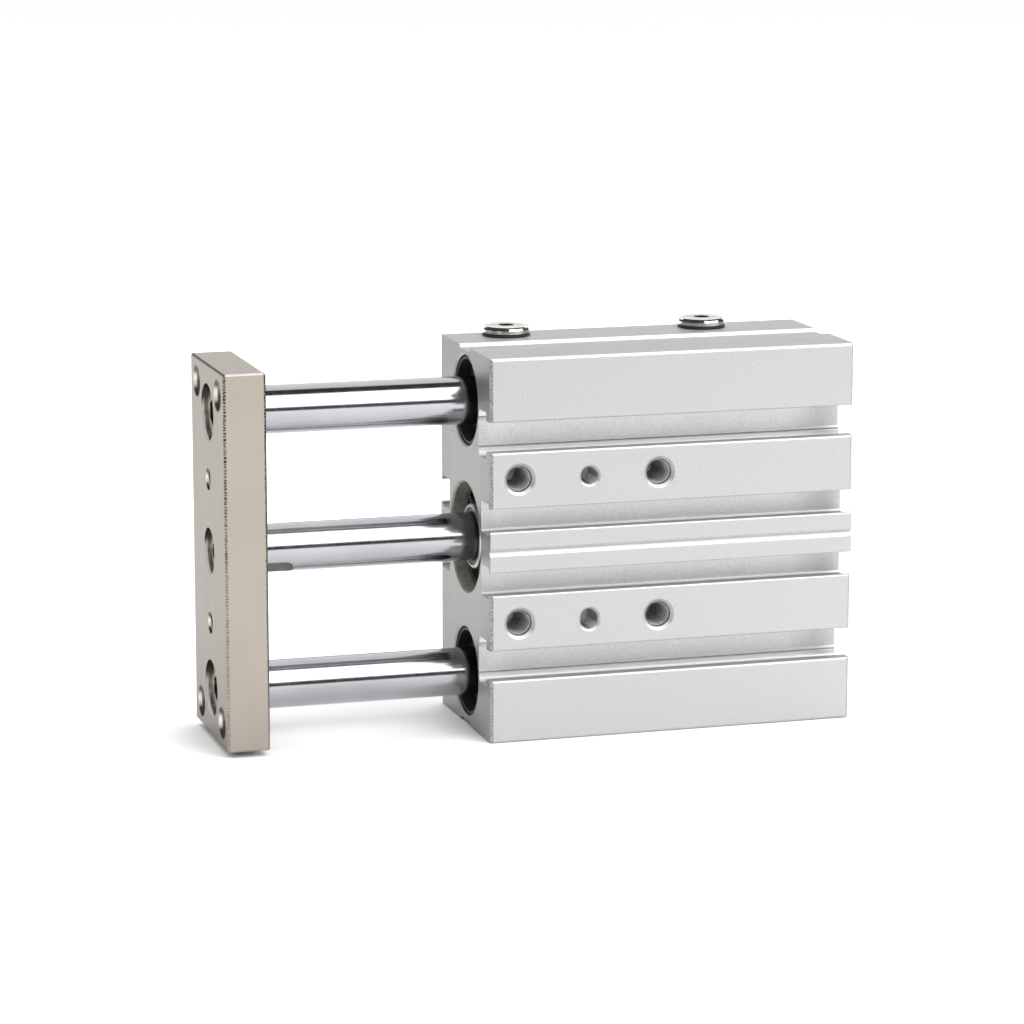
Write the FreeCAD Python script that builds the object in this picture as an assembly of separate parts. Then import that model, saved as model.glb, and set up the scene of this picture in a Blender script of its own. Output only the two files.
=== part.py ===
import FreeCAD, Part
import math
import os

# Guided pneumatic cylinder: an extruded body with a piston rod between two guide rods,
# a front plate that joins the three rods, and ball bushings that carry the guide rods.
# Millimetres. The origin is the middle of the whole cylinder's footprint, on the surface
# that the body stands on. +Z is up, +X runs from the front plate to the rear of the body,
# and -Y is the T-slot face. The piston is at the front end of its stroke.

# --- Driving dimensions ---------------------------------------------------------------

# Cylinder and rods
bore_d = 16.0
stroke = 30.0
piston_rod_d = 8.0
guide_rod_d = 8.0

# Clearances
running_clearance = 0.05      # radial, between what slides and what guides it
lip_clearance = 0.04          # radial, between a seal lip and its rod
seat_clearance = 0.05         # radial, between a piece and the bore it sits in
stop_clearance = 0.3          # along X, between the piston and a bumper

# Centre bore: covers, rings and bumpers, from the front to the rear
seat_step = 1.2               # how much wider the cover seats are than the bore, on the radius
ring_groove_depth = 0.3
ring_thickness = 1.0
ring_width = 1.5
ring_gap_deg = 34.0
ring_lug_deg = 14.0           # from +Y towards +Z
ring_lug_r = 1.15
ring_lug_hole_r = 0.55
front_recess = 2.3            # body face to the front retaining ring
cover_flange = 5.4
cover_boss_wall = 0.5
cover_boss_recess = 1.0       # body face to the boss that holds the rod seal
cover_nose = 2.5
cover_nose_wall = 0.9
seal_section = 0.9
seal_length = 2.9
bumper_height = 1.1
bumper_spigot = 0.8
bumper_wall = 1.25
head_thickness = 2.9
rear_recess = 0.7             # rear retaining ring to the body's rear face
gasket_section = 1.3
gasket_squeeze = 0.05

# Piston
piston_length = 14.4
piston_land = 1.0             # front face to the seal groove
piston_seal_width = 1.5
piston_seal_depth = 1.6
piston_skirt_step = 0.35      # how much smaller the skirt is than the front land, on the radius
magnet_setback = 5.2
magnet_width = 3.6
magnet_depth = 1.5
spigot_step = 1.0             # piston rod shoulder, on the radius
spigot_length = 10.5

# Guide bores: wiper and ball bushing
ball_d = 1.6
ball_gap = 0.02
ball_rows = 4
balls_per_row = 6
ball_pitch = 1.9
sleeve_wall = 1.84
cage_clearance = 0.15
bushing_length = 24.0
bushing_seal = 1.2
wiper_recess = 0.4
wiper_length = 3.0
wiper_wall = 0.8
wiper_floor = 0.9
bushing_gap = 0.3             # wiper to bushing, and bushing to its ring
rear_relief = 1.5             # guide bore behind the bushing is smaller by this, on the radius

# Mounting holes through the body
mount_pitch_x = 24.0
mount_first_x = 5.0
mount_drill_d = 4.3           # one drill right through, tapped M5 from the T-slot face
mount_counterbore_d = 7.6
mount_counterbore_depth = 4.5
dowel_d = 3.0
dowel_depth = 6.0
dowel_slot = 0.5              # how much longer the lower dowel hole is than wide
dowel_chamfer = 0.35
hole_chamfer = 0.55

# Webs that set the rows apart
web_bore_to_mount = 0.35
web_mount_to_guide = 1.35
web_mount_to_t_slot = 0.95
wall_over_bushing = 1.5
wall_under_t_slot = 0.8
wall_under_switch_slot = 0.45

# T-slots
t_mouth = 5.0
t_inner = 7.8
t_lip = 2.4
t_depth = 6.7
t_relief_width = 4.4
t_relief_depth = 0.3
t_line_gap = 0.15              # relief to the fine line scored beside it
t_line_width = 0.3

# Switch slots
switch_mouth = 3.8
switch_inner = 5.2
switch_lip = 1.0
switch_depth = 5.4
centre_land = 6.8

# Small forms of the extrusion
corner_r = 0.6
groove_width = 1.3
groove_depth = 0.65
channel_width = 6.4
channel_floor = 5.6
channel_depth = 0.6
end_chamfer = 0.5
bore_chamfer = 0.3

# Ports
port_core_d = 4.2
port_depth = 6.5
wide_port_depth = 5.0
port_wall = 0.9
port_web = 0.4
passage_d = 2.0
passage_deg = 31.0            # where the passages meet the bore, from +Y towards +Z
rear_port_setback = 18.0

# Port plugs
plug_head_d = 7.8
plug_head_height = 1.35
plug_edge = 0.65
plug_shank = 5.0
plug_socket = 2.5
plug_socket_depth = 1.3
plug_gasket_d = 8.2
plug_gasket_height = 0.4

# Front plate
plate_thickness = 7.0
plate_width = 25.0
plate_end_margin = 8.0
plate_gap = 6.5               # plate to body when retracted
plate_edge = 0.3
plate_core_d = 4.2
plate_hole_y = 8.0
plate_hole_past_guide = 4.0
plate_dowel_pitch = 24.0
rod_register = 0.8            # depth of the plate recess that each rod sits in

# Bolts: nominal thread, head diameter, head height, socket and counterbore
guide_bolt = {"thread": 5.0, "head": 8.5, "height": 3.9, "socket": 4.0, "bore": 9.5, "length": 14.0}
piston_bolt = {"thread": 4.0, "head": 7.0, "height": 3.9, "socket": 3.0, "bore": 7.8, "length": 14.0}
bolt_recess = 0.9             # plate face to the top of a bolt head
bolt_clearance = 0.25         # radial, where a bolt passes through the plate
bolt_fit = 0.04               # radial, between a thread and its tapped hole

# Rods
flat_across = 7.0
flat_length = 4.95
flat_deg = 55.5               # how far the wrench flat is turned down from -Y
flat_cutter_r = 3.0           # rounds the run-out at the flat's end
rod_chamfer = 0.4
guide_rod_behind_plate = 72.5

# --- Worked out from them -------------------------------------------------------------

X = FreeCAD.Vector(1, 0, 0)
Y = FreeCAD.Vector(0, 1, 0)
Z = FreeCAD.Vector(0, 0, 1)

bore_r = bore_d / 2
seat_r = bore_r + seat_step
ring_groove_r = seat_r + ring_groove_depth
rod_r = piston_rod_d / 2
guide_r = guide_rod_d / 2
bushing_r = guide_r + lip_clearance + ball_d + ball_gap + sleeve_wall

# Rows across the body, out from the piston axis
mount_row = ring_groove_r + web_bore_to_mount + mount_drill_d / 2
guide_row = mount_row + mount_drill_d / 2 + web_mount_to_guide + bushing_r
t_slot_row = mount_row + mount_drill_d / 2 + web_mount_to_t_slot + t_inner / 2
switch_row = (centre_land + switch_mouth) / 2

body_height = 2 * (guide_row + bushing_r + wall_over_bushing)
switch_edge = switch_row - switch_inner / 2
switch_floor = math.sqrt((ring_groove_r + wall_under_switch_slot) ** 2 - switch_edge ** 2)
body_thickness = 2 * max(t_depth + wall_under_t_slot + bushing_r, switch_depth + switch_floor)
axis_z = body_height / 2

# Stations along the centre bore, first measured from the body's front face
ring_x = front_recess
flange_x = ring_x + ring_thickness
nose_x = flange_x + cover_flange
bumper_x = nose_x + cover_nose
piston_x = bumper_x + bumper_height + stop_clearance
rear_bumper_x = piston_x + piston_length + stroke + stop_clearance
head_x = rear_bumper_x + bumper_height
rear_ring_x = head_x + head_thickness
body_length = rear_ring_x + ring_thickness + rear_recess
front = (plate_thickness + plate_gap + stroke - body_length) / 2
rear = front + body_length

wiper_x = wiper_recess
bushing_x = wiper_x + wiper_length + bushing_gap
bushing_ring_x = bushing_x + bushing_length + bushing_gap

front_port_x = mount_first_x + mount_counterbore_d / 2 + port_web + passage_d / 2
rear_port_x = body_length - rear_port_setback
port_y = bushing_r + port_wall + port_core_d / 2
seal_end_retracted = piston_x + stroke + piston_land + piston_seal_width
rear_passage_x = seal_end_retracted + passage_d / 2 + running_clearance

plate_height = 2 * (guide_row + plate_end_margin)
plate_back = front - plate_gap - stroke
plate_front = plate_back - plate_thickness


# --- Small makers ---------------------------------------------------------------------

def at(x, y=0.0, z=None):
    """A point x behind the body's front face, y across, and z up from the piston axis."""
    return FreeCAD.Vector(front + x, y, axis_z + (z or 0.0))


def turned(profile, origin, along=X, out=Z):
    """A solid of revolution: profile holds (distance along, radius) pairs from the origin."""
    points = [origin + along * a + out * r for a, r in profile]
    solid = Part.Face(Part.makePolygon(points + points[:1])).revolve(origin, along, 360)
    if solid.Volume < 0:
        solid.reverse()
    return solid


def hexagon(across, height, origin, along):
    """A hexagonal prism, as wide across its flats as a key."""
    out = Z if abs(along.z) < 0.5 else X
    side = along.cross(out)
    radius = across / math.sqrt(3)
    corners = []
    for k in range(6):
        turn = math.radians(60 * k)
        corners.append(origin + out * (radius * math.cos(turn)) + side * (radius * math.sin(turn)))
    return Part.Face(Part.makePolygon(corners + corners[:1])).extrude(along * height)


def drilled(start, end, diameter):
    """The hole that a drill leaves between two points."""
    path = end - start
    return Part.makeCylinder(diameter / 2, path.Length, start, path)


def tapped_hole(origin, inward, core_d, depth, chamfer):
    """A blind tapped hole at its core diameter, with a chamfered mouth and a drill point."""
    r = core_d / 2
    profile = [(-1, 0), (-1, r + chamfer), (0, r + chamfer), (chamfer, r), (depth, r)]
    profile.append((depth + r * math.tan(math.radians(31)), 0))
    return turned(profile, origin, inward, X if abs(inward.x) < 0.5 else Z)


def rounded_wire(corners, x):
    """A closed outline across the body at x, from (y, z, corner radius) corners."""
    edges = []
    ends = []
    count = len(corners)
    for k in range(count):
        here = FreeCAD.Vector(x, corners[k][0], corners[k][1])
        radius = corners[k][2]
        if radius == 0:
            ends.append((here, here))
            continue
        before = corners[k - 1]
        after = corners[(k + 1) % count]
        back = (FreeCAD.Vector(x, before[0], before[1]) - here).normalize()
        ahead = (FreeCAD.Vector(x, after[0], after[1]) - here).normalize()
        half = back.getAngle(ahead) / 2
        start = here + back * (radius / math.tan(half))
        end = here + ahead * (radius / math.tan(half))
        centre = here + (back + ahead).normalize() * (radius / math.sin(half))
        middle = centre + (here - centre).normalize() * radius
        edges.append(Part.Arc(start, middle, end).toShape())
        ends.append((start, end))
    for k in range(count):
        edges.append(Part.makeLine(ends[k][1], ends[(k + 1) % count][0]))
    return Part.Wire(Part.__sortEdges__(edges))


# --- The extruded body ----------------------------------------------------------------

def slot_run(centre, half_profile):
    """One slot as (place, depth, radius) points, from its mouth down to its middle and out."""
    down = [(centre - w, depth, r) for w, depth, r in half_profile]
    up = [(centre + w, depth, r) for w, depth, r in reversed(half_profile) if w > 0]
    return down + up


def body_section():
    """The extrusion's section: a rounded rectangle whose sides dip into each slot."""
    line_in = t_relief_width / 2 + t_line_gap
    line_width, line_depth = t_line_width, t_line_width / 2
    t_slot = [
        (t_mouth / 2, 0, 0.4), (t_mouth / 2, t_lip, 0.15), (t_inner / 2, t_lip, 0.4),
        (t_inner / 2, t_depth, 0.8), (line_in + line_width, t_depth, 0),
        (line_in + line_width / 2, t_depth + line_depth, 0), (line_in, t_depth, 0),
        (t_relief_width / 2, t_depth, 0),
        (t_relief_width / 2 - t_relief_depth, t_depth + t_relief_depth, 0),
    ]
    switch_slot = [
        (switch_mouth / 2, 0, 0.3), (switch_mouth / 2, switch_lip, 0.15),
        (switch_inner / 2, switch_lip, 0.25), (switch_inner / 2, switch_depth, 0.4),
    ]
    groove = [(groove_width / 2, 0, 0), (0, groove_depth, 0)]
    channel = [(channel_width / 2, 0, 0.1), (channel_floor / 2, channel_depth, 0.1)]
    slots = [(-switch_row, switch_slot), (switch_row, switch_slot)]
    t_face = [(-t_slot_row, t_slot)] + slots[:1] + [(0, groove)] + slots[1:] + [(t_slot_row, t_slot)]

    half_y = body_thickness / 2
    corners = [(-half_y, 0, corner_r)]
    for row, profile in t_face:
        corners += [(depth - half_y, axis_z + s, r) for s, depth, r in slot_run(row, profile)]
    corners.append((-half_y, body_height, corner_r))
    corners += [(s, body_height - depth, r) for s, depth, r in slot_run(0, channel)]
    corners.append((half_y, body_height, corner_r))
    for row, profile in reversed(slots):
        run = slot_run(row, profile)
        corners += [(half_y - depth, axis_z + s, r) for s, depth, r in reversed(run)]
    corners.append((half_y, 0, corner_r))
    corners += [(s, depth, r) for s, depth, r in reversed(slot_run(0, channel))]
    return Part.Face(rounded_wire(corners, front))


def centre_bore():
    """The cylinder bore with a wider seat and a ring groove at each end."""
    r, s, g, c = bore_r, seat_r, ring_groove_r, bore_chamfer
    profile = [
        (-1, 0), (-1, s + c), (0, s + c), (c, s), (ring_x, s), (ring_x, g), (flange_x, g),
        (flange_x, s), (nose_x, s), (nose_x, r), (head_x, r), (head_x, s), (rear_ring_x, s),
        (rear_ring_x, g), (rear_ring_x + ring_thickness, g), (rear_ring_x + ring_thickness, s),
        (body_length - c, s), (body_length, s + c), (body_length + 1, s + c), (body_length + 1, 0),
    ]
    return turned(profile, at(0))


def guide_bore(row):
    """The bore for a ball bushing, its ring groove, and the smaller bore behind it."""
    r, c = bushing_r, bore_chamfer
    ring_end = bushing_ring_x + ring_thickness
    behind = ring_end + 1.0
    small = r - rear_relief
    profile = [
        (-1, 0), (-1, r + c), (0, r + c), (c, r), (bushing_ring_x, r),
        (bushing_ring_x, r + ring_groove_depth), (ring_end, r + ring_groove_depth),
        (ring_end, r), (behind, r), (behind, small), (body_length - c, small),
        (body_length, small + c), (body_length + 1, small + c), (body_length + 1, 0),
    ]
    return turned(profile, at(0, 0, row))


def mounting_holes():
    """Holes tapped from the T-slot face, and counterbored from the face behind it."""
    half_y = body_thickness / 2
    cuts = []
    for row in (-mount_row, mount_row):
        for x in (mount_first_x, mount_first_x + mount_pitch_x):
            floor_y = half_y - mount_counterbore_depth
            depth = half_y + floor_y + 1
            cuts.append(tapped_hole(at(x, -half_y, row), Y, mount_drill_d, depth, hole_chamfer))
            cuts.append(drilled(at(x, floor_y, row), at(x, half_y + 1, row), mount_counterbore_d))
    return cuts


def stadium(middle, radius, stretch):
    """A round-ended outline across Y: two half circles, stretch apart along Z."""
    top = middle + Z * (stretch / 2)
    bottom = middle - Z * (stretch / 2)
    over = Part.Arc(top - X * radius, top + Z * radius, top + X * radius).toShape()
    under = Part.Arc(bottom + X * radius, bottom - Z * radius, bottom - X * radius).toShape()
    right = Part.makeLine(top + X * radius, bottom + X * radius)
    left = Part.makeLine(bottom - X * radius, top - X * radius)
    return Part.Wire([over, right, under, left])


def dowel_holes():
    """A round dowel hole in the upper row, and a slotted one in the lower row."""
    half_y = body_thickness / 2
    x = mount_first_x + mount_pitch_x / 2
    r, wide, c = dowel_d / 2, dowel_d / 2 + dowel_chamfer, dowel_chamfer
    profile = [(-1, 0), (-1, wide), (0, wide), (c, r), (dowel_depth, r), (dowel_depth, 0)]
    upper = turned(profile, at(x, -half_y, mount_row), Y, X)
    mouth = at(x, -half_y, -mount_row)
    lower = Part.Face(stadium(mouth, r, dowel_slot)).extrude(Y * dowel_depth)
    flare = Part.makeLoft([stadium(mouth, wide, dowel_slot), stadium(mouth + Y * c, r, dowel_slot)], True)
    return [upper, lower.fuse(flare)]


def ports():
    """Two ports on the upper narrow face and two on the wide face, each led to the bore."""
    half_y = body_thickness / 2
    turn = math.radians(passage_deg)
    reach = bore_r - 0.4
    cuts = []
    for x, inner_x in ((front_port_x, front_port_x), (rear_port_x, rear_passage_x)):
        cuts.append(tapped_hole(at(x, port_y, axis_z), -Z, port_core_d, port_depth, hole_chamfer))
        into = at(inner_x, reach * math.cos(turn), reach * math.sin(turn))
        cuts.append(drilled(at(x, port_y, axis_z - port_depth + 0.5), into, passage_d))
        cuts.append(tapped_hole(at(x, half_y, 0), -Y, port_core_d, wide_port_depth, hole_chamfer))
        cuts.append(drilled(at(x, half_y - wide_port_depth + 0.5, 0), at(inner_x, reach, 0), passage_d))
    return cuts


def end_chamfers():
    """Bevels where the end faces meet the wide faces, on the lands outside the middle one."""
    half_y = body_thickness / 2
    inner = switch_row
    cuts = []
    for x, into in ((front, 1), (rear, -1)):
        for y, down in ((-half_y, 1), (half_y, -1)):
            for low in (0.0, axis_z + inner):
                corner = FreeCAD.Vector(x, y, low)
                a = corner + X * (into * end_chamfer)
                b = corner + Y * (down * end_chamfer)
                edge = Part.makePolygon([corner, a, b, corner])
                cuts.append(Part.Face(edge).extrude(Z * (axis_z - inner)))
    return cuts


def body_housing():
    solid = body_section().extrude(X * body_length)
    cuts = [centre_bore(), guide_bore(-guide_row), guide_bore(guide_row)]
    cuts += mounting_holes() + dowel_holes() + ports() + end_chamfers()
    return solid.cut(cuts)


# --- Centre bore: covers, rings, seals and bumpers ------------------------------------

def retaining_ring(x, bore_radius, row, lugs):
    """An open ring in its groove; lugs with plier holes flank the gap where they are asked for."""
    outer = bore_radius + ring_groove_depth - seat_clearance
    inner = bore_radius - ring_width + ring_groove_depth
    centre = at(x, 0, row)
    ring = Part.makeCylinder(outer, ring_thickness, centre, X)
    ring = ring.cut(Part.makeCylinder(inner, ring_thickness, centre, X))
    half_gap = math.radians(ring_gap_deg / 2)
    lug_turn = math.radians(ring_lug_deg)
    reach = 2 * outer

    def ray(angle, length):
        return centre + Y * (length * math.cos(angle)) + Z * (length * math.sin(angle))

    gap = Part.makePolygon([centre, ray(lug_turn - half_gap, reach), ray(lug_turn + half_gap, reach), centre])
    ring = ring.cut(Part.Face(gap).extrude(X * ring_thickness))
    if not lugs:
        return ring
    place = inner - ring_lug_r + 0.5
    lug_half = half_gap + ring_lug_r / place
    for side in (-1, 1):
        spot = ray(lug_turn + side * lug_half, place)
        ring = ring.fuse(Part.makeCylinder(ring_lug_r, ring_thickness, spot, X))
        ring = ring.cut(Part.makeCylinder(ring_lug_hole_r, ring_thickness, spot, X))
    return ring.removeSplitter()


def gasket_groove(x):
    """The outer profile of a cover across its gasket groove, which starts at x."""
    r = seat_r - seat_clearance
    floor = seat_r - gasket_section - 2 * seat_clearance
    end = x + gasket_section + 2 * gasket_squeeze
    return [(end, r), (end, floor), (x, floor), (x, r)]


def gasket(x):
    """An O-ring in its groove, just clear of the seat."""
    section_r = gasket_section / 2
    centre = at(x + section_r + gasket_squeeze)
    return Part.makeTorus(seat_r - seat_clearance - section_r, section_r, centre, X)


def rod_cover():
    """The front cover: a boss for the rod seal, a flange with its gasket, and a nose."""
    outer = seat_r - seat_clearance
    hole = rod_r + running_clearance
    pocket = rod_r + seal_section
    boss = pocket + cover_boss_wall
    spigot = hole + bumper_wall
    nose = spigot + cover_nose_wall
    seal_floor = cover_boss_recess + seal_length + 0.2
    edge = 0.2
    profile = [
        (cover_boss_recess, pocket), (seal_floor, pocket), (seal_floor, hole),
        (bumper_x - bumper_spigot, hole), (bumper_x - bumper_spigot, spigot), (bumper_x, spigot),
        (bumper_x, nose), (nose_x, nose), (nose_x, outer - edge), (nose_x - edge, outer),
    ]
    profile += gasket_groove(nose_x - 0.8 - gasket_section)
    profile += [
        (flange_x + edge, outer), (flange_x, outer - edge), (flange_x, boss),
        (cover_boss_recess + edge, boss), (cover_boss_recess, boss - edge),
    ]
    return turned(profile, at(0))


def rod_seal():
    """A lip seal: a wiping lip at the front and an open cup behind it."""
    outer = rod_r + seal_section - seat_clearance / 2
    lip = rod_r + lip_clearance
    x0 = cover_boss_recess + 0.15
    x1 = cover_boss_recess + seal_length
    profile = [
        (x0, outer), (x1, outer), (x1, outer - 0.28), (x1 - 0.9, outer - 0.4), (x1, lip + 0.26),
        (x1 - 0.15, lip), (x1 - 0.7, lip + 0.1), (x0 + 0.5, lip + 0.1), (x0 + 0.1, lip), (x0, lip + 0.08),
    ]
    return turned(profile, at(0))


def bumper(x, facing):
    """A rubber ring whose spigot sits in its cover; facing is the way the piston lies."""
    hole = rod_r + running_clearance + 0.25
    spigot = rod_r + running_clearance + bumper_wall - seat_clearance
    face = spigot + cover_nose_wall
    depth = bumper_spigot - seat_clearance
    profile = [
        (-depth, hole), (-depth, spigot), (0, spigot), (0, face),
        (bumper_height - 0.3, face), (bumper_height, face - 0.3), (bumper_height, hole),
    ]
    return turned(profile, at(x), X * facing)


def head_cover():
    """The rear cover: a plain disc with its gasket and a seat for the rear bumper."""
    outer = seat_r - seat_clearance
    spigot = rod_r + running_clearance + bumper_wall
    groove_x = head_x + (head_thickness - gasket_section) / 2
    profile = [(head_x + bumper_spigot, 0), (head_x + bumper_spigot, spigot), (head_x, spigot)]
    profile += [(head_x, outer - 0.2), (head_x + 0.2, outer)]
    profile += list(reversed(gasket_groove(groove_x)))
    profile += [(rear_ring_x - 0.2, outer), (rear_ring_x, outer - 0.2), (rear_ring_x, 0)]
    return turned(profile, at(0))


# --- Piston and rods ------------------------------------------------------------------

def piston():
    """Seal groove near the front face, and a smaller skirt that carries the magnet."""
    land = bore_r - running_clearance - 0.03
    skirt = land - piston_skirt_step
    seal_x = piston_x + piston_land
    magnet_x = piston_x + magnet_setback
    end = piston_x + piston_length
    hole = rod_r - spigot_step + bolt_fit
    socket = piston_x + spigot_length + 0.2
    profile = [
        (piston_x, hole), (piston_x, land - 0.4), (piston_x + 0.4, land), (seal_x, land),
        (seal_x, land - piston_seal_depth), (seal_x + piston_seal_width, land - piston_seal_depth),
        (seal_x + piston_seal_width, land), (seal_x + piston_seal_width + 0.8, land),
        (seal_x + piston_seal_width + 0.8, skirt), (magnet_x, skirt), (magnet_x, skirt - magnet_depth),
        (magnet_x + magnet_width, skirt - magnet_depth), (magnet_x + magnet_width, skirt),
        (end - 0.5, skirt), (end, skirt - 0.5), (end, 0), (socket, 0), (socket, hole),
    ]
    return turned(profile, at(0))


def piston_seal():
    """A lip seal whose lip opens to the front."""
    land = bore_r - running_clearance - 0.03
    floor = land - piston_seal_depth + seat_clearance
    lip = bore_r - lip_clearance
    x0 = piston_x + piston_land + 0.05
    x1 = x0 + piston_seal_width - 0.1
    profile = [
        (x0, floor), (x1, floor), (x1, land - 0.2), (x0 + 0.6, lip), (x0 + 0.1, lip),
        (x0 + 0.6, land - 0.6), (x0, land - 0.8),
    ]
    return turned(profile, at(0))


def magnet():
    outer = bore_r - running_clearance - 0.03 - piston_skirt_step - 0.1
    inner = outer + 0.1 - magnet_depth + seat_clearance
    x0 = piston_x + magnet_setback + 0.05
    x1 = x0 + magnet_width - 0.1
    return turned([(x0, inner), (x1, inner), (x1, outer), (x0, outer)], at(0))


def rod_start(radius, bolt):
    """The plate end of a rod: a chamfered face with the tapped hole for its bolt."""
    x0 = plate_back - rod_register - front
    thread = bolt["thread"] / 2 + bolt_fit
    depth = bolt["length"] + 1.0
    return [
        (x0 + depth + thread * 0.6, 0), (x0 + depth, thread), (x0, thread),
        (x0, radius - rod_chamfer), (x0 + rod_chamfer, radius),
    ]


def piston_rod():
    """The centre rod: a bolt hole in front, wrench flats, and a spigot in the piston."""
    spigot = rod_r - spigot_step
    end = piston_x + spigot_length
    profile = rod_start(rod_r, piston_bolt)
    profile += [(piston_x, rod_r), (piston_x, spigot), (end - 0.3, spigot), (end, spigot - 0.3), (end, 0)]
    rod = turned(profile, at(0))
    turn = math.radians(flat_deg)
    normal = -Y * math.cos(turn) - Z * math.sin(turn)
    for side in (-1, 1):
        block = Part.makeBox(flat_length, piston_rod_d, rod_r)
        block.translate(FreeCAD.Vector(0, -rod_r, flat_across / 2))
        run_out = FreeCAD.Vector(flat_length, -rod_r, flat_across / 2 + flat_cutter_r)
        block = block.fuse(Part.makeCylinder(flat_cutter_r, piston_rod_d, run_out, Y))
        block.Placement = FreeCAD.Placement(
            FreeCAD.Vector(plate_back, 0, axis_z), FreeCAD.Rotation(Z, normal * side)
        ).multiply(block.Placement)
        rod = rod.cut(block)
    return rod


def guide_rod(row):
    end = plate_back + guide_rod_behind_plate - front
    profile = rod_start(guide_r, guide_bolt)
    profile += [(end - rod_chamfer, guide_r), (end, guide_r - rod_chamfer), (end, 0)]
    return turned(profile, at(0, 0, row))


# --- Front plate and its bolts --------------------------------------------------------

def rod_places():
    """The row of each rod with its radius and its bolt."""
    return [(0.0, rod_r, piston_bolt), (guide_row, guide_r, guide_bolt), (-guide_row, guide_r, guide_bolt)]


def front_plate():
    """A flat plate, with a counterbored bolt hole and a shallow recess for each rod."""
    corner = FreeCAD.Vector(plate_front, -plate_width / 2, axis_z - plate_height / 2)
    plate = Part.makeBox(plate_thickness, plate_width, plate_height, corner)
    plate = plate.makeChamfer(plate_edge, plate.Edges)
    face_x = plate_front - front
    back_x = plate_back - front
    cuts = []
    for row, radius, bolt in rod_places():
        depth = bolt["height"] + bolt_recess
        cuts.append(drilled(at(face_x - 1, 0, row), at(face_x + depth, 0, row), bolt["bore"]))
        cuts.append(drilled(at(face_x, 0, row), at(back_x + 1, 0, row), bolt["thread"] + 2 * bolt_clearance))
        register = 2 * (radius + seat_clearance)
        cuts.append(drilled(at(back_x - rod_register, 0, row), at(back_x + 1, 0, row), register))
    for row in (-guide_row - plate_hole_past_guide, guide_row + plate_hole_past_guide):
        for y in (-plate_hole_y, plate_hole_y):
            cuts.append(through_hole(face_x, back_x, y, row, plate_core_d, hole_chamfer))
    for row in (-plate_dowel_pitch / 2, plate_dowel_pitch / 2):
        cuts.append(through_hole(face_x, back_x, 0, row, dowel_d, 0.35))
    return plate.cut(cuts)


def through_hole(x0, x1, y, row, diameter, chamfer):
    """A hole through the plate with both mouths chamfered."""
    r = diameter / 2
    profile = [
        (x0 - 1, 0), (x0 - 1, r + chamfer), (x0, r + chamfer), (x0 + chamfer, r), (x1 - chamfer, r),
        (x1, r + chamfer), (x1 + 1, r + chamfer), (x1 + 1, 0),
    ]
    return turned(profile, at(0, y, row))


def socket_bolt(row, bolt):
    """A socket head bolt whose head seats on the floor of its counterbore."""
    top = plate_front + bolt_recess - front
    under = top + bolt["height"]
    tip = under + bolt["length"] - 3.0
    head = bolt["head"] / 2
    shank = bolt["thread"] / 2
    profile = [
        (top, 0), (top, head - 0.4), (top + 0.4, head), (under, head), (under, shank),
        (tip - 0.5, shank), (tip, shank - 0.5), (tip, 0),
    ]
    solid = turned(profile, at(0, 0, row))
    return solid.cut(hexagon(bolt["socket"], bolt["height"] * 0.6, at(top, 0, row), X))


def guide_rod_bolts():
    return Part.makeCompound([socket_bolt(-guide_row, guide_bolt), socket_bolt(guide_row, guide_bolt)])


# --- Guide bores: wiper and ball bushing ----------------------------------------------

def guide_wiper(row):
    """A cup that lines the mouth of the bore, with a lip round the guide rod."""
    outer = bushing_r - seat_clearance
    lip = guide_r + lip_clearance
    x0 = wiper_x
    x1 = wiper_x + wiper_length
    profile = [
        (x0, outer - 0.2), (x0 + 0.2, outer), (x1, outer), (x1, lip + 0.4), (x1 - wiper_floor, lip),
        (x1 - wiper_floor - 0.2, lip + 0.1), (x1 - wiper_floor, lip + 0.7),
        (x1 - wiper_floor, outer - wiper_wall), (x0, outer - wiper_wall + 0.2),
    ]
    return turned(profile, at(0, 0, row))


def bushing_sleeve(row):
    outer = bushing_r - seat_clearance
    inner = bushing_r - sleeve_wall
    x0, x1 = bushing_x, bushing_x + bushing_length
    edge = 0.3
    profile = [
        (x0, inner), (x1, inner), (x1, outer - edge), (x1 - edge, outer), (x0 + edge, outer),
        (x0, outer - edge),
    ]
    return turned(profile, at(0, 0, row))


def ball_angles():
    return [math.radians(360 * k / ball_rows + 45) for k in range(ball_rows)]


def ball_cage(row):
    """A resin tube with one slot for each row of balls."""
    outer = bushing_r - sleeve_wall - ball_gap
    inner = guide_r + cage_clearance
    x0 = bushing_x + bushing_seal + 0.1
    x1 = bushing_x + bushing_length - bushing_seal - 0.1
    cage = turned([(x0, inner), (x1, inner), (x1, outer), (x0, outer)], at(0, 0, row))
    slot_length = ball_pitch * (balls_per_row - 1) + ball_d + 0.4
    slot_width = ball_d + 2 * seat_clearance
    middle = bushing_x + bushing_length / 2
    for angle in ball_angles():
        corner = at(middle - slot_length / 2, -slot_width / 2, row)
        slot = Part.makeBox(slot_length, slot_width, bushing_r, corner)
        slot.rotate(at(middle, 0, row), X, math.degrees(angle))
        cage = cage.cut(slot)
    return cage


def bushing_balls(row):
    """The balls that carry the load, in rows between the sleeve and the rod."""
    radius = guide_r + lip_clearance + ball_d / 2
    middle = bushing_x + bushing_length / 2
    balls = []
    for angle in ball_angles():
        for k in range(balls_per_row):
            x = middle + ball_pitch * (k - (balls_per_row - 1) / 2)
            spot = at(x, -radius * math.sin(angle), row + radius * math.cos(angle))
            balls.append(Part.makeSphere(ball_d / 2, spot))
    return Part.makeCompound(balls)


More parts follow.
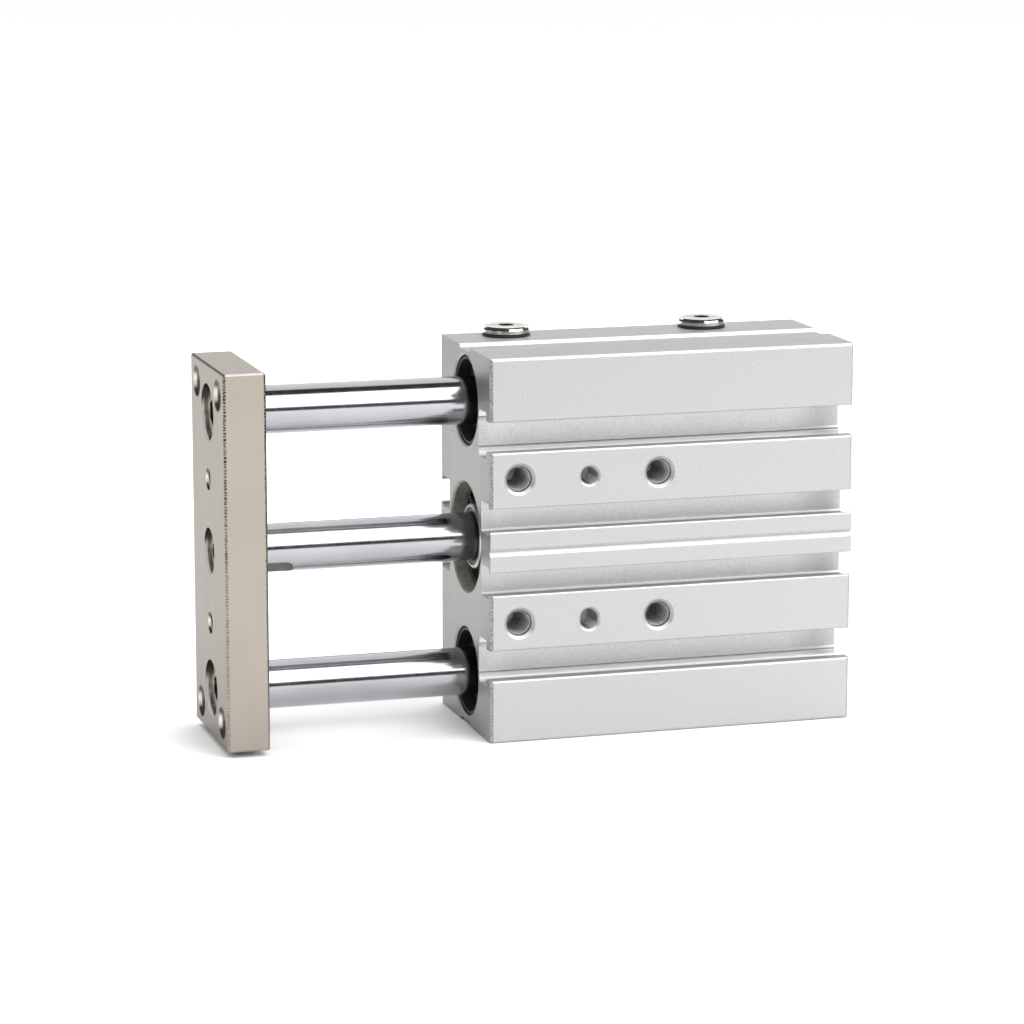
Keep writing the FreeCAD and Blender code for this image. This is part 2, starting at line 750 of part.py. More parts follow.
def bushing_seals(row):
    """A rubber ring at each end of the bushing, inside its sleeve."""
    outer = bushing_r - sleeve_wall - ball_gap
    lip = guide_r + lip_clearance
    rings = []
    for x, inward in ((bushing_x, 1), (bushing_x + bushing_length, -1)):
        profile = [
            (0, lip + 0.2), (0.2, lip), (0.6, lip + 0.1), (bushing_seal, lip + 0.4),
            (bushing_seal, outer), (0, outer),
        ]
        rings.append(turned(profile, at(x, 0, row), X * inward))
    return Part.makeCompound(rings)


# --- Port plugs -----------------------------------------------------------------------

def port_plug(x):
    """A headed plug with a hexagon socket, screwed down onto its gasket."""
    foot = body_height + plug_gasket_height
    top = foot + plug_head_height
    head = plug_head_d / 2
    shank = port_core_d / 2 - seat_clearance
    low = body_height - plug_shank
    profile = [
        (low, 0), (low, shank - 0.4), (low + 0.4, shank), (foot, shank),
        (foot, head - 0.15), (foot + 0.15, head),
    ]
    for turn in (0, 30, 60, 90):
        bend = math.radians(turn)
        profile.append((top - plug_edge * (1 - math.sin(bend)), head - plug_edge * (1 - math.cos(bend))))
    profile.append((top, 0))
    origin = FreeCAD.Vector(front + x, port_y, 0)
    plug = turned(profile, origin, Z, X)
    socket = hexagon(plug_socket, plug_socket_depth, origin + Z * (top - plug_socket_depth), Z)
    return plug.cut(socket)


def plug_gasket(x):
    origin = FreeCAD.Vector(front + x, port_y, 0)
    outer = plug_gasket_d / 2
    inner = port_core_d / 2 + seat_clearance
    low, high = body_height, body_height + plug_gasket_height
    middle = (low + high) / 2
    profile = [(low, inner), (high, inner), (high, outer - 0.2), (middle, outer), (low, outer - 0.2)]
    return turned(profile, origin, Z, X)


# --- All pieces -----------------------------------------------------------------------

def pieces():
    made = {
        "body_housing": body_housing(),
        "rod_cover": rod_cover(),
        "rod_cover_gasket": gasket(nose_x - 0.8 - gasket_section),
        "rod_cover_retaining_ring": retaining_ring(ring_x, seat_r, 0, True),
        "rod_seal": rod_seal(),
        "front_bumper": bumper(bumper_x, 1),
        "rear_bumper": bumper(head_x, -1),
        "head_cover": head_cover(),
        "head_cover_gasket": gasket(head_x + (head_thickness - gasket_section) / 2),
        "head_cover_retaining_ring": retaining_ring(rear_ring_x, seat_r, 0, True),
        "piston": piston(),
        "piston_seal": piston_seal(),
        "piston_magnet": magnet(),
        "piston_rod": piston_rod(),
        "front_plate": front_plate(),
        "piston_rod_bolt": socket_bolt(0, piston_bolt),
        "guide_rod_bolts": guide_rod_bolts(),
    }
    for name, x in (("front", front_port_x), ("rear", rear_port_x)):
        made["port_plug_" + name] = port_plug(x)
        made["plug_gasket_" + name] = plug_gasket(x)
    for name, row in (("upper", guide_row), ("lower", -guide_row)):
        made["guide_rod_" + name] = guide_rod(row)
        made["guide_wiper_" + name] = guide_wiper(row)
        made["bushing_sleeve_" + name] = bushing_sleeve(row)
        made["ball_cage_" + name] = ball_cage(row)
        made["bushing_balls_" + name] = bushing_balls(row)
        made["bushing_seals_" + name] = bushing_seals(row)
        made["bushing_ring_" + name] = retaining_ring(bushing_ring_x, bushing_r, row, False)
    return made


os.makedirs("parts", exist_ok=True)
for node, shape in pieces().items():
    if not shape.isValid():
        raise ValueError(node + " is not a valid solid")
    shape.exportStep("parts/" + node + ".step")
    print(node, len(shape.Solids), round(shape.Volume, 1))
print("body", round(body_length, 3), round(body_thickness, 3), round(body_height, 3))
print("rows", round(mount_row, 3), round(guide_row, 3), round(t_slot_row, 3), round(port_y, 3))
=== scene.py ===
import math

import bpy
import numpy as np
from mathutils import Matrix, Vector


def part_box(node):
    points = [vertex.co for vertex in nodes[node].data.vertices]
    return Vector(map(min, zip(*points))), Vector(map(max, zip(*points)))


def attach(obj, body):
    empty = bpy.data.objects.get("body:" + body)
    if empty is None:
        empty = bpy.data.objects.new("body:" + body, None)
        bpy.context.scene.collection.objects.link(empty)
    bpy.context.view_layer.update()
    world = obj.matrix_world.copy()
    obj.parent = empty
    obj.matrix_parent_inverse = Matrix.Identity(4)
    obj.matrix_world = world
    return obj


# Looks of the guided pneumatic cylinder: finishes for its metal and rubber pieces, the
# threads in its tapped holes, a pale floor and soft studio light. Metres throughout.

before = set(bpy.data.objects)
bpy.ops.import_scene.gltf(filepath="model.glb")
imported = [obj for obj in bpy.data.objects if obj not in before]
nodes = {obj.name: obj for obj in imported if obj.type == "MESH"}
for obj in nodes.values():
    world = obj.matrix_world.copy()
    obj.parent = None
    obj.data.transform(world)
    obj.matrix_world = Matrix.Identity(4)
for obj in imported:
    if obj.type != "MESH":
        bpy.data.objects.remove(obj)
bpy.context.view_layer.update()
MM = 0.001

# --- Places read from the frame -------------------------------------------------------

body_low, body_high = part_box("body_housing")
plate_low, plate_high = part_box("front_plate")
bore_axis_z = (body_low.z + body_high.z) / 2
upper_axis_z = sum(corner.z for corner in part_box("guide_rod_upper")) / 2
lower_axis_z = sum(corner.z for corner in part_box("guide_rod_lower")) / 2
body_front = body_low.x
body_rear = body_high.x
near_face = body_low.y
far_face = body_high.y

# --- Sizes that the finishes and threads follow ---------------------------------------
# A pair is where a finish starts to change and where the change is complete.

t_slot_row = 19 * MM
hole_row = 12 * MM
dowel_from_front = 17 * MM
centre_bore = (9.52 * MM, 9.60 * MM)
guide_bore = (7.52 * MM, 7.60 * MM)
centre_chamfer = (10.2 * MM, 10.4 * MM)
guide_chamfer = (8.2 * MM, 8.4 * MM)
dowel_wall = (2.1 * MM, 2.3 * MM)
dowel_mouth = (0.3 * MM, 0.5 * MM)
slot_mouth = (1.5 * MM, 2.6 * MM)
t_slot_floor = (5.8 * MM, 6.0 * MM)
outermost_slot = (26 * MM, 28 * MM)
score_start = (2.28 * MM, 2.36 * MM)
score_end = (2.58 * MM, 2.68 * MM)
band_start = (2.60 * MM, 2.72 * MM)
wrench_flat = (3.90 * MM, 3.97 * MM)
chip_width = 0.46 * MM
chip_pitch = 0.50 * MM
turning_pitch = 0.12 * MM


# --- Small makers for materials -------------------------------------------------------

class Finish:
    """A material's node tree, with short calls that add and join its nodes."""

    def __init__(self, name):
        self.material = bpy.data.materials.new(name)
        self.material.use_nodes = True
        self.tree = self.material.node_tree
        self.shader = self.tree.nodes["Principled BSDF"]
        self.place = self.add("ShaderNodeTexCoord").outputs["Object"]

    def add(self, kind, inputs=None, **settings):
        made = self.tree.nodes.new(kind)
        for key, value in settings.items():
            setattr(made, key, value)
        for key, value in (inputs or {}).items():
            self.join(value, made.inputs[key])
        return made

    def join(self, value, socket):
        if isinstance(value, bpy.types.NodeSocket):
            self.tree.links.new(value, socket)
        else:
            socket.default_value = value

    def set(self, **values):
        for key, value in values.items():
            self.join(value, self.shader.inputs[key.replace("_", " ")])

    def math(self, operation, a, b=0.0, c=0.0):
        return self.add("ShaderNodeMath", {0: a, 1: b, 2: c}, operation=operation).outputs[0]

    def times(self, first, *others):
        """The product of its inputs, taken from the left."""
        for other in others:
            first = self.math("MULTIPLY", first, other)
        return first

    def gap(self, first, second):
        """How far apart two values are."""
        return self.math("ABSOLUTE", self.math("SUBTRACT", first, second))

    def noise(self, scale, detail=2.0, rough=0.5, stretch=(1, 1, 1)):
        """Noise of that many cells to a metre, drawn out along an axis by a small stretch."""
        turned = self.add("ShaderNodeMapping", {"Vector": self.place, "Scale": stretch})
        made = self.add("ShaderNodeTexNoise", {
            "Vector": turned.outputs[0], "Scale": scale, "Detail": detail, "Roughness": rough})
        return made.outputs["Fac"]

    def band(self, value, low, high, out_low=0.0, out_high=1.0):
        """Maps a value from low..high to out_low..out_high with soft ends."""
        made = self.add("ShaderNodeMapRange", {
            "Value": value, "From Min": low, "From Max": high, "To Min": out_low,
            "To Max": out_high}, interpolation_type="SMOOTHSTEP")
        return made.outputs[0]

    def blend(self, factor, first, second):
        made = self.add("ShaderNodeMix", data_type="RGBA")
        self.join(factor, made.inputs[0])
        self.join(first, made.inputs[6])
        self.join(second, made.inputs[7])
        return made.outputs[2]

    def split(self, vector):
        return self.add("ShaderNodeSeparateXYZ", {"Vector": vector}).outputs

    def bump(self, height, strength, distance, under=None):
        made = self.add("ShaderNodeBump", {
            "Height": height, "Strength": strength, "Distance": distance})
        if under is not None:
            self.join(under, made.inputs["Normal"])
        return made.outputs[0]

    def facing(self):
        """The three parts of the surface's normal."""
        return self.split(self.add("ShaderNodeNewGeometry").outputs["Normal"])

    def from_axis(self, y, z):
        """Distance from a line along X through (y, z)."""
        place = self.split(self.place)
        across = self.math("SUBTRACT", place[1], y)
        up = self.math("SUBTRACT", place[2], z)
        square = self.math("ADD", self.times(across, across), self.times(up, up))
        return self.math("SQRT", square)

    def within(self, distance, ends):
        """1 below a pair of distances and 0 above it."""
        return self.band(distance, *ends, 1.0, 0.0)


def grey(value, warmth=0.0):
    """A grey, warmer for a positive warmth and cooler for a negative one."""
    return (value * (1 + warmth), value, value * (1 - warmth), 1.0)


# --- Finishes -------------------------------------------------------------------------

def blasted_aluminium():
    """Clear-anodised extrusion: fine blasted grain, milled ends and turned bores, the guide bores
    painted dark as painted shade.
    """
    f = Finish("blasted_aluminium")
    grain = f.noise(4200, detail=2.0, rough=0.65)
    cloud = f.noise(700, detail=3.0)
    normal = f.facing()
    face_x = f.math("ABSOLUTE", normal[0])
    milled = f.band(face_x, 0.9, 0.97)
    x, y, z = f.split(f.place)
    deep = f.math("MINIMUM", f.math("SUBTRACT", y, near_face), f.math("SUBTRACT", far_face, y))
    from_middle = f.gap(z, bore_axis_z)

    # The blasted skin, in a fine grain and faint clouds.
    fine = f.band(grain, 0.32, 0.68)
    light = f.blend(fine, grey(0.355), grey(0.455))
    light = f.blend(f.band(cloud, 0.3, 0.7, 0.0, 0.2), light, grey(0.395, 0.01))

    # The slots are painted lighter inside as painted light, less so at their ends, with a painted
    # highlight band on the floors.
    in_slot = f.times(f.band(deep, *slot_mouth), f.within(from_middle, outermost_slot))
    inner = f.times(
        f.band(x, body_front, body_front + 3 * MM, 0.6, 1.0),
        f.band(x, body_rear - 10 * MM, body_rear - 1 * MM, 1.0, 0.1))
    light = f.blend(f.times(in_slot, inner), light, f.blend(fine, grey(0.72), grey(0.86)))
    off_row = f.gap(from_middle, t_slot_row)
    on_floor = f.times(in_slot, f.band(deep, *t_slot_floor))
    floor_highlight_band = f.times(on_floor, f.band(off_row, *band_start))
    light = f.blend(f.times(floor_highlight_band, inner), light, grey(1.0))

    # The dowel holes' walls, then the scored lines on the T-slots' floors, painted dark as painted
    # shade in the grooves.
    out_x = f.math("SUBTRACT", x, body_front + dowel_from_front)
    out_z = f.math("SUBTRACT", from_middle, hole_row)
    from_dowel = f.math("SQRT", f.math("MULTIPLY_ADD", out_x, out_x, f.times(out_z, out_z)))
    in_dowel = f.times(f.within(from_dowel, dowel_wall), f.band(deep, *dowel_mouth))
    light = f.blend(in_dowel, light, grey(0.78))
    score_line_shade = f.times(f.band(off_row, *score_start), f.within(off_row, score_end))
    light = f.blend(f.times(score_line_shade, on_floor), light, grey(0.20))

    # Painted light: a little lighter towards the floor, and painted highlights along edges that
    # face up and out.
    low = f.add("ShaderNodeMapRange", {
        "Value": z, "From Min": 0.0, "From Max": body_high.z, "To Min": 0.12, "To Max": 0.0})
    light = f.blend(low.outputs[0], light, grey(0.95))
    highlight_facing = f.times(normal[1], -1.0, normal[2])
    light = f.blend(f.band(highlight_facing, 0.2, 0.4), light, grey(0.80))

    # Drawing lines on the narrow face, which is also painted darker as painted shade, milled ends
    # and their speckled bevels.
    drawn = f.band(f.noise(2400, detail=2.0, stretch=(0.04, 1, 1)), 0.3, 0.7)
    top_face_shade = f.band(normal[2], 0.93, 0.98)
    light = f.blend(top_face_shade, light, f.blend(drawn, grey(0.295), grey(0.340)))
    light = f.blend(f.times(milled, 0.9), light, grey(0.300, 0.015))
    half_length = (body_rear - body_front) / 2
    along = f.gap(x, (body_front + body_rear) / 2)
    at_ends = f.band(along, half_length - 1.3 * MM, half_length - 1.2 * MM)
    bevel = f.band(f.math("ABSOLUTE", f.times(normal[0], normal[1])), 0.35, 0.45)
    specks = f.band(f.noise(3600, detail=3.0, rough=0.7), 0.42, 0.62)
    light = f.blend(
        f.times(bevel, at_ends, 0.8), light, f.blend(specks, grey(0.20), grey(0.50)))

    # Chamfers round the bores, painted bright as painted highlights, then the turned bores
    # themselves, the guide bores painted dark as painted shade over their turning streaks.
    from_bore = f.from_axis(0, bore_axis_z)
    from_guides = f.math("MINIMUM", f.from_axis(0, upper_axis_z), f.from_axis(0, lower_axis_z))
    ring = f.times(f.band(face_x, 0.3, 0.4), f.math("SUBTRACT", 1.0, milled))
    light = f.blend(f.times(ring, f.within(from_bore, centre_chamfer)), light, grey(0.95))
    light = f.blend(f.times(ring, f.within(from_guides, guide_chamfer)), light, grey(0.55))
    in_bore = f.within(from_bore, centre_bore)
    turned = f.math("MAXIMUM", in_bore, f.within(from_guides, guide_bore))
    streaks = f.band(f.noise(900, detail=3.0, stretch=(0.5, 1, 1)), 0.35, 0.65)
    colour = f.blend(turned, light, f.blend(streaks, grey(0.12, 0.02), grey(0.22, 0.02)))
    colour = f.blend(
        in_bore, colour, f.blend(streaks, (0.33, 0.33, 0.29, 1), (0.46, 0.46, 0.41, 1)))

    rough = f.math("SUBTRACT", f.band(grain, 0.3, 0.7, 0.42, 0.56), f.times(milled, 0.08))
    f.set(Base_Color=colour, Roughness=rough)
    f.set(Metallic=f.math("MAXIMUM", 0.5, f.math("SUBTRACT", turned, in_bore)))
    f.set(Normal=f.bump(grain, 0.4, 0.06 * MM, f.bump(cloud, 0.05, 0.1 * MM)))
    return f.material


def nickel_plate():
    """Warm nickel on ground steel, with small chips along the upright edges."""
    f = Finish("nickel_plate")
    cloud = f.noise(60, detail=3.0)
    lines = f.noise(1600, detail=2.0, stretch=(1, 1, 0.04))
    normal = f.facing()
    x, y, z = f.split(f.place)
    off_y = f.math("ABSOLUTE", y)
    off_x = f.gap(x, (plate_low.x + plate_high.x) / 2)
    off_z = f.gap(z, (plate_low.z + plate_high.z) / 2)

    # Chips: strokes across the upright edges, swayed and broken up by noise.
    half_x = (plate_high.x - plate_low.x) / 2
    edge_x = f.math("SUBTRACT", off_x, half_x - chip_width)
    edge_y = f.math("SUBTRACT", off_y, plate_high.y - chip_width)
    edge = f.band(f.math("MINIMUM", edge_x, edge_y), 0.0, 0.1 * MM)
    sway = f.times(f.noise(1500, detail=3.0, rough=0.7), 16.0)
    strokes = f.math("SINE", f.math("MULTIPLY_ADD", z, 2 * math.pi / chip_pitch, sway))
    uneven = f.math("MULTIPLY_ADD", f.noise(700, detail=2.0), 3.0, -1.5)
    chips = f.band(f.math("ADD", strokes, uneven), -0.2, 0.3)
    chip = f.times(edge, chips, f.band(z, 10 * MM, 56 * MM, 0.4, 1.0))

    # The plate's flat faces, the front one painted darker as painted shade.
    front = f.band(normal[0], -0.9, -0.8, 1.0, 0.0)
    soft = f.band(cloud, 0.35, 0.65)
    colour = f.blend(soft, (0.354, 0.318, 0.274, 1), (0.370, 0.336, 0.292, 1))
    colour = f.blend(f.times(front, 0.75), colour, (0.135, 0.115, 0.090, 1))

    # Hole walls: painted shade where they face down, with a painted highlight rim at the mouth.
    in_face = f.times(
        f.within(off_y, (11.8 * MM, 11.9 * MM)), f.within(off_z, (30.3 * MM, 30.4 * MM)))
    at_mouth = f.within(x, (plate_low.x + 0.45 * MM, plate_low.x + 0.60 * MM))
    wall = f.times(in_face, f.math("SUBTRACT", 1.0, front))
    upward = f.band(normal[2], -0.45, 0.05)
    wall_light_and_shade = f.blend(upward, (0.11, 0.10, 0.085, 1), (0.36, 0.32, 0.27, 1))
    colour = f.blend(wall, colour, wall_light_and_shade)
    rim = f.times(wall, at_mouth, upward)
    colour = f.blend(rim, colour, (0.90, 0.88, 0.84, 1))

    # Edges that face up: a painted highlight on the near side and painted shade at the front.
    highlight_facing = f.times(normal[1], -1.0, normal[2])
    colour = f.blend(f.band(highlight_facing, 0.15, 0.35), colour, (0.95, 0.94, 0.92, 1))
    front_edge_shade = f.times(normal[0], -1.0, normal[2])
    colour = f.blend(f.band(front_edge_shade, 0.15, 0.35), colour, (0.06, 0.055, 0.05, 1))
    colour = f.blend(chip, colour, (0.05, 0.045, 0.038, 1))

    rough = f.math("ADD", f.band(lines, 0.3, 0.7, 0.28, 0.31), f.times(chip, 0.4))
    f.set(Base_Color=colour, Roughness=rough, Specular_Tint=(0.94, 0.93, 0.91, 1.0))
    f.set(Metallic=f.math("MULTIPLY_ADD", rim, -0.8, 1.0))
    f.set(Normal=f.bump(chip, -0.6, 0.1 * MM, f.bump(lines, 0.012, 0.02 * MM)))
    return f.material


def hard_chrome():
    """Polished chrome with faint lines left by the grinding wheel."""
    f = Finish("hard_chrome")
    rings = f.noise(4000, detail=2.0, stretch=(1, 0.05, 0.05))
    cloud = f.noise(120, detail=2.0)
    colour = f.blend(f.band(cloud, 0.3, 0.7), (0.375, 0.38, 0.40, 1), (0.41, 0.415, 0.435, 1))
    flat = f.within(f.from_axis(0, bore_axis_z), wrench_flat)
    colour = f.blend(flat, colour, (0.12, 0.12, 0.125, 1))
    rough = f.math("MULTIPLY_ADD", flat, 0.25, f.band(rings, 0.3, 0.7, 0.12, 0.17))
    f.set(Base_Color=colour, Metallic=1.0, Roughness=rough)
    f.set(Normal=f.bump(rings, 0.03, 0.01 * MM))
    return f.material


def plated(name, dark, light, rough_low, rough_high):
    """A plated small part: two close tones in soft clouds over fine lines."""
    f = Finish(name)
    cloud = f.noise(500, detail=3.0)
    lines = f.noise(3000, detail=2.0)
    f.set(Base_Color=f.blend(f.band(cloud, 0.3, 0.7), dark, light), Metallic=1.0)
    f.set(Roughness=f.band(lines, 0.3, 0.7, rough_low, rough_high))
    f.set(Normal=f.bump(lines, 0.08, 0.02 * MM))
    return f.material


def cut_thread(name, root_shade, crest):
    """Cut thread, painted bright on its crests as painted highlight and darker in its roots as
    painted shade.
    """
    f = Finish(name)
    height = f.add("ShaderNodeAttribute", attribute_name="crest").outputs["Fac"]
    lines = f.noise(3000, detail=2.0)
    f.set(Base_Color=f.blend(f.band(height, 0.15, 0.85), root_shade, crest), Metallic=0.6)
    f.set(Roughness=f.band(lines, 0.3, 0.7, 0.30, 0.42), Normal=f.bump(lines, 0.05, 0.02 * MM))
    return f.material


def black_rubber(name="black_rubber", value=0.012, rough=0.42):
    """Dull rubber with a fine moulded grain."""
    f = Finish(name)
    grain = f.noise(2500, detail=3.0)
    f.set(Base_Color=f.blend(grain, grey(value), grey(value * 2.2)), Specular_IOR_Level=0.35)
    f.set(Roughness=f.band(grain, 0.3, 0.7, rough, rough + 0.18))
    f.set(Normal=f.bump(grain, 0.15, 0.03 * MM))
    return f.material


def turned_metal(name, y, z, value, warmth, rough, rim=None):
    """Metal turned about a line along X; rim is a brighter ring between two radii."""
    f = Finish(name)
    x = f.split(f.place)[0]
    out = f.from_axis(y, z)
    run = f.math("ADD", out, x)
    rings = f.math("SINE", f.times(run, 2 * math.pi / turning_pitch))
    cloud = f.noise(700, detail=3.0)
    colour = f.blend(cloud, grey(value * 0.85, warmth), grey(value * 1.15, warmth))
    if rim:
        inside = f.band(out, rim[0], rim[0] + 0.05 * MM)
        outside = f.within(out, (rim[1] - 0.05 * MM, rim[1]))
        colour = f.blend(f.times(inside, outside), colour, grey(0.85))
    f.set(Base_Color=colour)
    f.set(Metallic=1.0, Roughness=f.band(rings, -1, 1, rough, rough + 0.12))
    f.set(Normal=f.bump(rings, 0.10, 0.006 * MM))
    return f.material


def resin(name, value, warmth):
    """Moulded resin with a soft sheen."""
    f = Finish(name)
    grain = f.noise(1800, detail=2.0)
    f.set(Base_Color=f.blend(grain, grey(value * 0.9, warmth), grey(value, warmth)))
    f.set(Roughness=f.band(grain, 0.3, 0.7, 0.4, 0.55), Normal=f.bump(grain, 0.1, 0.02 * MM))
    return f.material


def dress(material, *names):
    """Gives CAD nodes their finish."""
    for name in names:
        slots = nodes[name].data.materials
        for place in range(len(slots)):
            slots[place] = material


aluminium = blasted_aluminium()
nickel = nickel_plate()
chrome = hard_chrome()
rubber = black_rubber()
cover_metal = turned_metal(
    "cover_aluminium", 0, bore_axis_z, 0.34, 0.05, 0.30, (5.2 * MM, 5.9 * MM))
ring_steel = plated("phosphated_spring_steel", grey(0.14, 0.08), grey(0.22, 0.08), 0.30, 0.42)
bearing = plated("bearing_steel", grey(0.50), grey(0.56), 0.15, 0.25)
bright_nickel = plated("bright_nickel", (0.66, 0.63, 0.58, 1), (0.76, 0.74, 0.69, 1), 0.10, 0.18)
dark_nickel = plated("dark_nickel", (0.34, 0.31, 0.27, 1), (0.46, 0.43, 0.38, 1), 0.16, 0.28)

dress(aluminium, "body_housing")
dress(nickel, "front_plate")
dress(chrome, "piston_rod", "guide_rod_upper", "guide_rod_lower")
dress(dark_nickel, "piston_rod_bolt", "guide_rod_bolts")
dress(bright_nickel, "port_plug_front", "port_plug_rear")
dress(rubber, "plug_gasket_front", "plug_gasket_rear", "rod_seal", "rod_cover_gasket")
dress(rubber, "head_cover_gasket", "piston_seal", "guide_wiper_upper", "guide_wiper_lower")
dress(rubber, "bushing_seals_upper", "bushing_seals_lower")
dress(black_rubber("bumper_rubber", 0.03, 0.5), "front_bumper", "rear_bumper")
dress(cover_metal, "rod_cover", "head_cover", "piston")
dress(ring_steel, "rod_cover_retaining_ring", "head_cover_retaining_ring")
dress(ring_steel, "bushing_ring_upper", "bushing_ring_lower")
dress(bearing, "bushing_sleeve_upper", "bushing_sleeve_lower")
dress(bearing, "bushing_balls_upper", "bushing_balls_lower")
dress(resin("cage_resin", 0.55, 0.06), "ball_cage_upper", "ball_cage_lower")
dress(resin("bonded_magnet", 0.05, 0.02), "piston_magnet")


# --- Threads in the tapped holes ------------------------------------------------------

def thread_lining(name, mouths, inward, depth, hole_r, body, material):
    """Linings with a ridge that winds round inside each hole, as a tap leaves it.

    Each lining is a tube. Its outer wall is a plain cylinder just inside the hole. Its inner
    wall lies at the hole's radius less the ridge height times a triangle wave of the angle
    round the hole plus the distance along it over the pitch; the wave fades at both ends.
    """
    pitch, ridge, skin, around = 0.8 * MM, 0.26 * MM, 0.012 * MM, 36
    along = int(depth / pitch * 6) + 1
    turn = np.arange(around) * 2 * np.pi / around
    run = np.linspace(0, depth, along)
    fade = np.clip(np.minimum(run, depth - run) / (0.5 * pitch), 0, 1)
    phase = (turn[None, :] / (2 * np.pi) - run[:, None] / pitch) % 1
    wave = 1 - np.abs(2 * phase - 1)
    inner = hole_r - 2 * skin - ridge * wave * fade[:, None]
    outer = np.full((2, around), hole_r - skin)
    radius = np.vstack([outer[:1], inner, outer[1:]])
    place = np.concatenate([[0], run, [depth]])
    into = np.array(inward, float)
    side = np.array((0.0, 0.0, 1.0)) if abs(into[2]) < 0.5 else np.array((1.0, 0.0, 0.0))
    over = np.cross(into, side)
    ring = np.cos(turn)[:, None] * side + np.sin(turn)[:, None] * over
    shape = place[:, None, None] * into + radius[:, :, None] * ring[None, :, :]
    rows = len(place)
    grid = np.arange(rows * around).reshape(rows, around)
    after = np.roll(grid, -1, axis=1)
    below, below_after = np.roll(grid, -1, axis=0), np.roll(after, -1, axis=0)
    quads = np.stack([grid, below, below_after, after], axis=-1).reshape(-1, 4)
    points, faces = [], []
    for mouth in mouths:
        faces.append(quads + len(points) * rows * around)
        points.append((shape + np.array(mouth)).reshape(-1, 3))
    mesh = bpy.data.meshes.new(name)
    mesh.from_pydata(np.vstack(points).tolist(), [], np.vstack(faces).tolist())
    mesh.polygons.foreach_set("use_smooth", np.ones(len(mesh.polygons), bool))
    mesh.materials.append(material)
    crest = np.zeros((rows, around))
    crest[1:-1] = wave * fade[:, None]
    mesh.attributes.new("crest", "FLOAT", "POINT").data.foreach_set(
        "value", np.tile(crest.ravel(), len(mouths)).astype(np.float32))
    piece = bpy.data.objects.new(name, mesh)
    bpy.context.scene.collection.objects.link(piece)
    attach(piece, body)
    return piece


cut_aluminium = cut_thread("cut_aluminium", grey(0.16), grey(0.90))
cut_nickel = cut_thread("cut_nickel", (0.14, 0.13, 0.11, 1), (0.44, 0.40, 0.35, 1))
drill_r = 2.15 * MM
core_r = 2.1 * MM
hole_rows = (bore_axis_z - hole_row, bore_axis_z + hole_row)
first_hole, hole_step = body_front + 5 * MM, 24 * MM
side_mouths = [
    (x, near_face + 0.45 * MM, z) for x in (first_hole, first_hole + hole_step) for z in hole_rows]
plate_mouths = [
    (plate_low.x + 0.5 * MM, y, z) for y in (-8 * MM, 8 * MM)
    for z in (upper_axis_z + 4 * MM, lower_axis_z - 4 * MM)]
port_mouths = [(body_front + out * MM, far_face - 0.5 * MM, bore_axis_z) for out in (10.2, 45.0)]
side_threads = thread_lining(
    "side_hole_threads", side_mouths, (0, 1, 0), 9.6 * MM, drill_r, "cylinder_body", cut_aluminium)
plate_threads = thread_lining(
    "plate_hole_threads", plate_mouths, (1, 0, 0), 6.0 * MM, core_r, "rod_and_plate", cut_nickel)
port_threads = thread_lining(
    "port_threads", port_mouths, (0, -1, 0), 4.0 * MM, core_r, "cylinder_body", cut_aluminium)


# --- Studio ---------------------------------------------------------------------------

def floor():
    """A wide pale floor that also makes the background."""
    half = 9.0
    mesh = bpy.data.meshes.new("studio_floor")
    corners = [(-half, -half), (half, -half), (half, half), (-half, half)]
    mesh.from_pydata([(x, y, -0.02 * MM) for x, y in corners], [], [(0, 1, 2, 3)])
    piece = bpy.data.objects.new("studio_floor", mesh)
    bpy.context.scene.collection.objects.link(piece)
    f = Finish("pale_floor")
    cloud = f.noise(3, detail=2.0)
    f.set(Base_Color=f.blend(cloud, grey(0.93), grey(0.95)), Roughness=0.8)
    f.set(Specular_IOR_Level=0.1)
    mesh.materials.append(f.material)


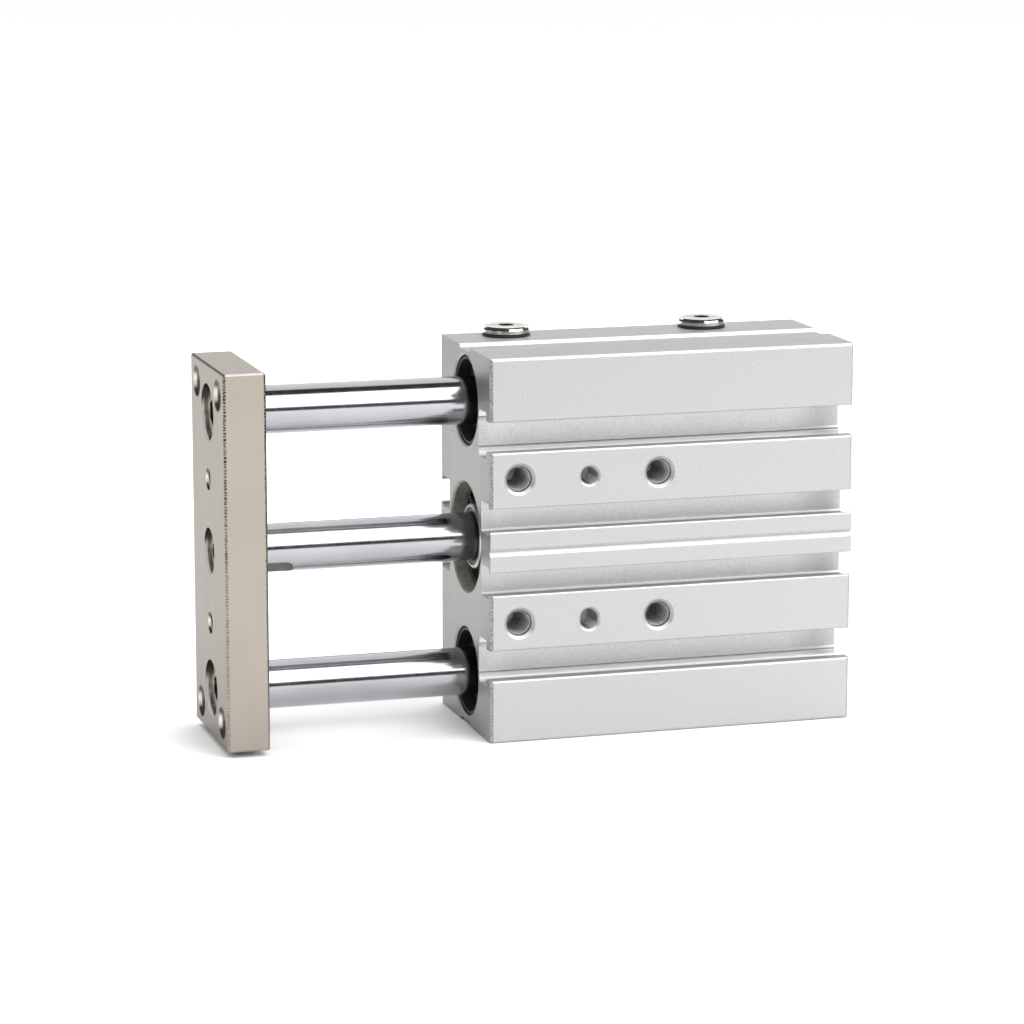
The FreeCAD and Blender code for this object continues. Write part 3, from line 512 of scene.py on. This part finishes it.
def softbox(name, x, low, high, width, radiance, swung=0.0):
    """A lamp centred on x, from its low edge to its high one as (y, z), then swung about Z."""
    low, high = Vector((x, *low)), Vector((x, *high))
    lamp = bpy.data.lights.new(name, "AREA")
    lamp.shape = "RECTANGLE"
    lamp.size = width
    lamp.size_y = (high - low).length
    lamp.energy = radiance * 4 * width * lamp.size_y
    piece = bpy.data.objects.new(name, lamp)
    bpy.context.scene.collection.objects.link(piece)
    across = Vector((-1 if low.y > 0 else 1, 0, 0))
    along = (high - low).normalized()
    turn = Matrix((across, along, across.cross(along))).transposed()
    spin = Matrix.Rotation(math.radians(swung), 4, "Z")
    piece.matrix_world = spin @ Matrix.Translation((low + high) / 2) @ turn.to_4x4()


def skylight(strength, spread_deg, direction):
    """A very wide sun that lights the floor evenly and stays out of reflections."""
    lamp = bpy.data.lights.new("skylight", "SUN")
    lamp.energy = strength
    lamp.angle = math.radians(spread_deg)
    piece = bpy.data.objects.new("skylight", lamp)
    bpy.context.scene.collection.objects.link(piece)
    piece.rotation_euler = Vector(direction).to_track_quat("-Z", "Y").to_euler()
    piece.visible_glossy = False


def room(value):
    """The dim room round the lamps."""
    world = bpy.data.worlds.new("studio_room")
    world.use_nodes = True
    world.node_tree.nodes["Background"].inputs["Color"].default_value = grey(value)
    bpy.context.scene.world = world


def camera():
    """A long lens in front of the T-slot face, turned towards the plate and looking down."""
    azimuth = math.radians(16.55)
    elevation = math.radians(10.98)
    lens_mm = 132.8
    place = Vector((body_front - 168.4 * MM, near_face - 579.0 * MM, 155.9 * MM))
    ahead = Vector((
        math.sin(azimuth) * math.cos(elevation),
        math.cos(azimuth) * math.cos(elevation),
        -math.sin(elevation)))
    side = Vector((math.cos(azimuth), -math.sin(azimuth), 0))
    up = side.cross(ahead)
    lens = bpy.data.cameras.new("studio_camera")
    lens.lens = lens_mm
    lens.sensor_width = 36.0
    lens.clip_start = 0.01
    lens.clip_end = 50
    eye = bpy.data.objects.new("studio_camera", lens)
    bpy.context.scene.collection.objects.link(eye)
    turn = Matrix((side, up, -ahead)).transposed()
    eye.matrix_world = Matrix.Translation(place) @ turn.to_4x4()
    bpy.context.scene.camera = eye


floor()
softbox("front_softbox", 0.26, (-1.20, 0.40), (-0.22, 0.95), 0.50, 2.8)
softbox("side_softbox", 0.0, (-1.20, 0.02), (-1.00, 0.72), 1.0, 2.0, 52)
softbox("back_card", 0.30, (0.95, 0.20), (0.30, 0.95), 1.1, 1.0)
skylight(3.2, 120, (0, 0.1, -1))
room(0.06)
camera()
bpy.context.scene.view_settings.view_transform = "Standard"
